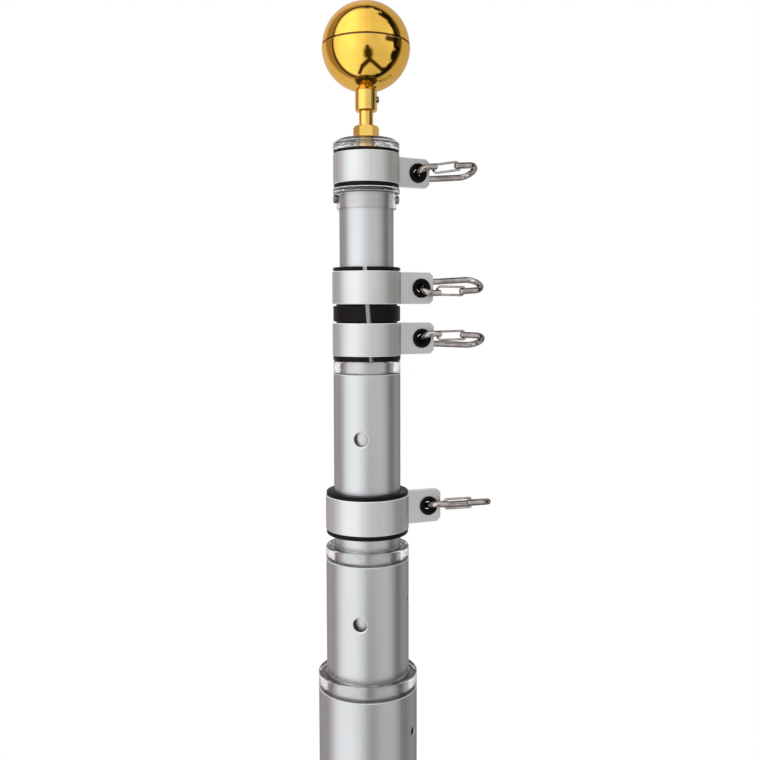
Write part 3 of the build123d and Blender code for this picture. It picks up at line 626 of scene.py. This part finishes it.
def screw_mesh(name, profile, socket_flats, socket_depth):
    """A head turned from (radius, rise) points, with a hexagonal socket in its crown."""
    top = profile[-1][1]
    turns = [tau * side / SCREW_SIDES for side in range(SCREW_SIDES)]
    socket = [socket_radius(socket_flats, angle) for angle in turns]
    loops = [[(radius, rise)] * SCREW_SIDES for radius, rise in profile]
    loops.append([(radius, top) for radius in socket])
    loops.append([(radius, top - socket_depth) for radius in socket])
    work = bmesh.new()
    rows = []
    for loop in loops:
        row = []
        for angle, (radius, rise) in zip(turns, loop):
            row.append(work.verts.new((radius * cos(angle), radius * sin(angle), rise)))
        rows.append(row)
    for lower, upper in zip(rows, rows[1:]):
        for side in range(SCREW_SIDES):
            after = (side + 1) % SCREW_SIDES
            work.faces.new((lower[side], lower[after], upper[after], upper[side]))
    work.faces.new(reversed(rows[0]))
    work.faces.new(rows[-1])
    bmesh.ops.recalc_face_normals(work, faces=work.faces)
    mesh = bpy.data.meshes.new(name)
    work.to_mesh(mesh)
    work.free()
    mesh.materials.append(finishes[SCREW_SLOT])
    for face in mesh.polygons:
        face.use_smooth = True
    mesh.set_sharp_from_angle(angle=radians(SCREW_SHARP_ANGLE))
    return mesh


def screw(name, azimuth, start, height, profile, socket_flats, socket_depth, body):
    """A screw that points out from the pole."""
    piece = bpy.data.objects.new(name, screw_mesh(name, profile, socket_flats, socket_depth))
    bpy.context.scene.collection.objects.link(piece)
    turn = Matrix.Rotation(radians(azimuth), 4, "Z")
    outwards = Matrix.Rotation(pi / 2, 4, "Y")
    piece.matrix_world = turn @ Matrix.Translation((start, 0, height)) @ outwards
    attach(piece, body)


def screw_pair(name, azimuth, *rest):
    """Two like screws on opposite sides of the pole."""
    screw(f"{name}_right", azimuth, *rest)
    screw(f"{name}_left", azimuth + HALF_TURN, *rest)


def make_fasteners():
    """The screws of the truck, the ferrule and the collars."""
    truck_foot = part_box("truck_body")[0][2]
    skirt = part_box("top_tube")[1][0] + TRUCK_SKIRT_WALL
    head = head_profile(TRUCK_HEAD_RADIUS, TRUCK_HEAD_RISE, TRUCK_HEAD_EDGE)
    screw_pair("truck_screw", TRUCK_SCREW_AZIMUTH, skirt, truck_foot + TRUCK_SCREW_RISE, head,
               TRUCK_SOCKET, TRUCK_SOCKET_DEPTH, "top_section")
    low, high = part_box("ball_ferrule")
    point = head_profile(SET_SCREW_RADIUS, SET_SCREW_RISE, SET_SCREW_EDGE)
    screw("ferrule_screw", SET_SCREW_AZIMUTH, high[0], low[2] + SET_SCREW_HEIGHT, point,
          SET_SCREW_SOCKET, SET_SCREW_SOCKET_DEPTH, "top_section")
    pin = head_profile(COLLAR_HEAD_RADIUS, COLLAR_HEAD_RISE, COLLAR_HEAD_EDGE)
    for part, body, azimuth in COLLAR_SCREWS:
        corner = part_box(f"{part}_tube")[1]
        start = corner[0] - COLLAR_HEAD_SINK - COLLAR_HEAD_RISE
        screw_pair(f"{part}_collar_screw", azimuth, start, corner[2] - COLLAR_SCREW_DROP, pin,
                   COLLAR_SOCKET, COLLAR_SOCKET_DEPTH, body)


# Stage

def make_floor():
    """A pale round floor under the pole's foot."""
    mesh = bpy.data.meshes.new("floor")
    work = bmesh.new()
    bmesh.ops.create_circle(work, cap_ends=True, radius=FLOOR_RADIUS, segments=FLOOR_SIDES)
    work.to_mesh(mesh)
    work.free()
    floor = bpy.data.objects.new("floor", mesh)
    bpy.context.scene.collection.objects.link(floor)
    material, tree, shader = new_material("pale_floor")
    cloud = noise(tree, FLOOR_CLOUD_SCALE)
    plug(tree, shader, {
        "Base Color": blend(tree, cloud, FLOOR_DARK, FLOOR_LIGHT),
        "Roughness": FLOOR_ROUGHNESS,
    })
    mesh.materials.append(material)
    floor.visible_glossy = False
    floor.visible_transmission = False


def make_camera():
    """The photograph's viewpoint."""
    data = bpy.data.cameras.new("camera")
    data.lens = CAMERA_LENS
    data.sensor_width = CAMERA_SENSOR
    camera = bpy.data.objects.new("camera", data)
    tilt = Euler((radians(LEVEL_TILT - CAMERA_PITCH), 0, 0)).to_matrix().to_4x4()
    roll = Matrix.Rotation(radians(CAMERA_ROLL), 4, "Z")
    camera.matrix_world = Matrix.Translation(CAMERA_PLACE) @ tilt @ roll
    bpy.context.scene.collection.objects.link(camera)
    bpy.context.scene.camera = camera


make_world()
make_floor()
make_camera()
dress_nodes()
make_fasteners()
bpy.context.scene.view_settings.view_transform = "Standard"
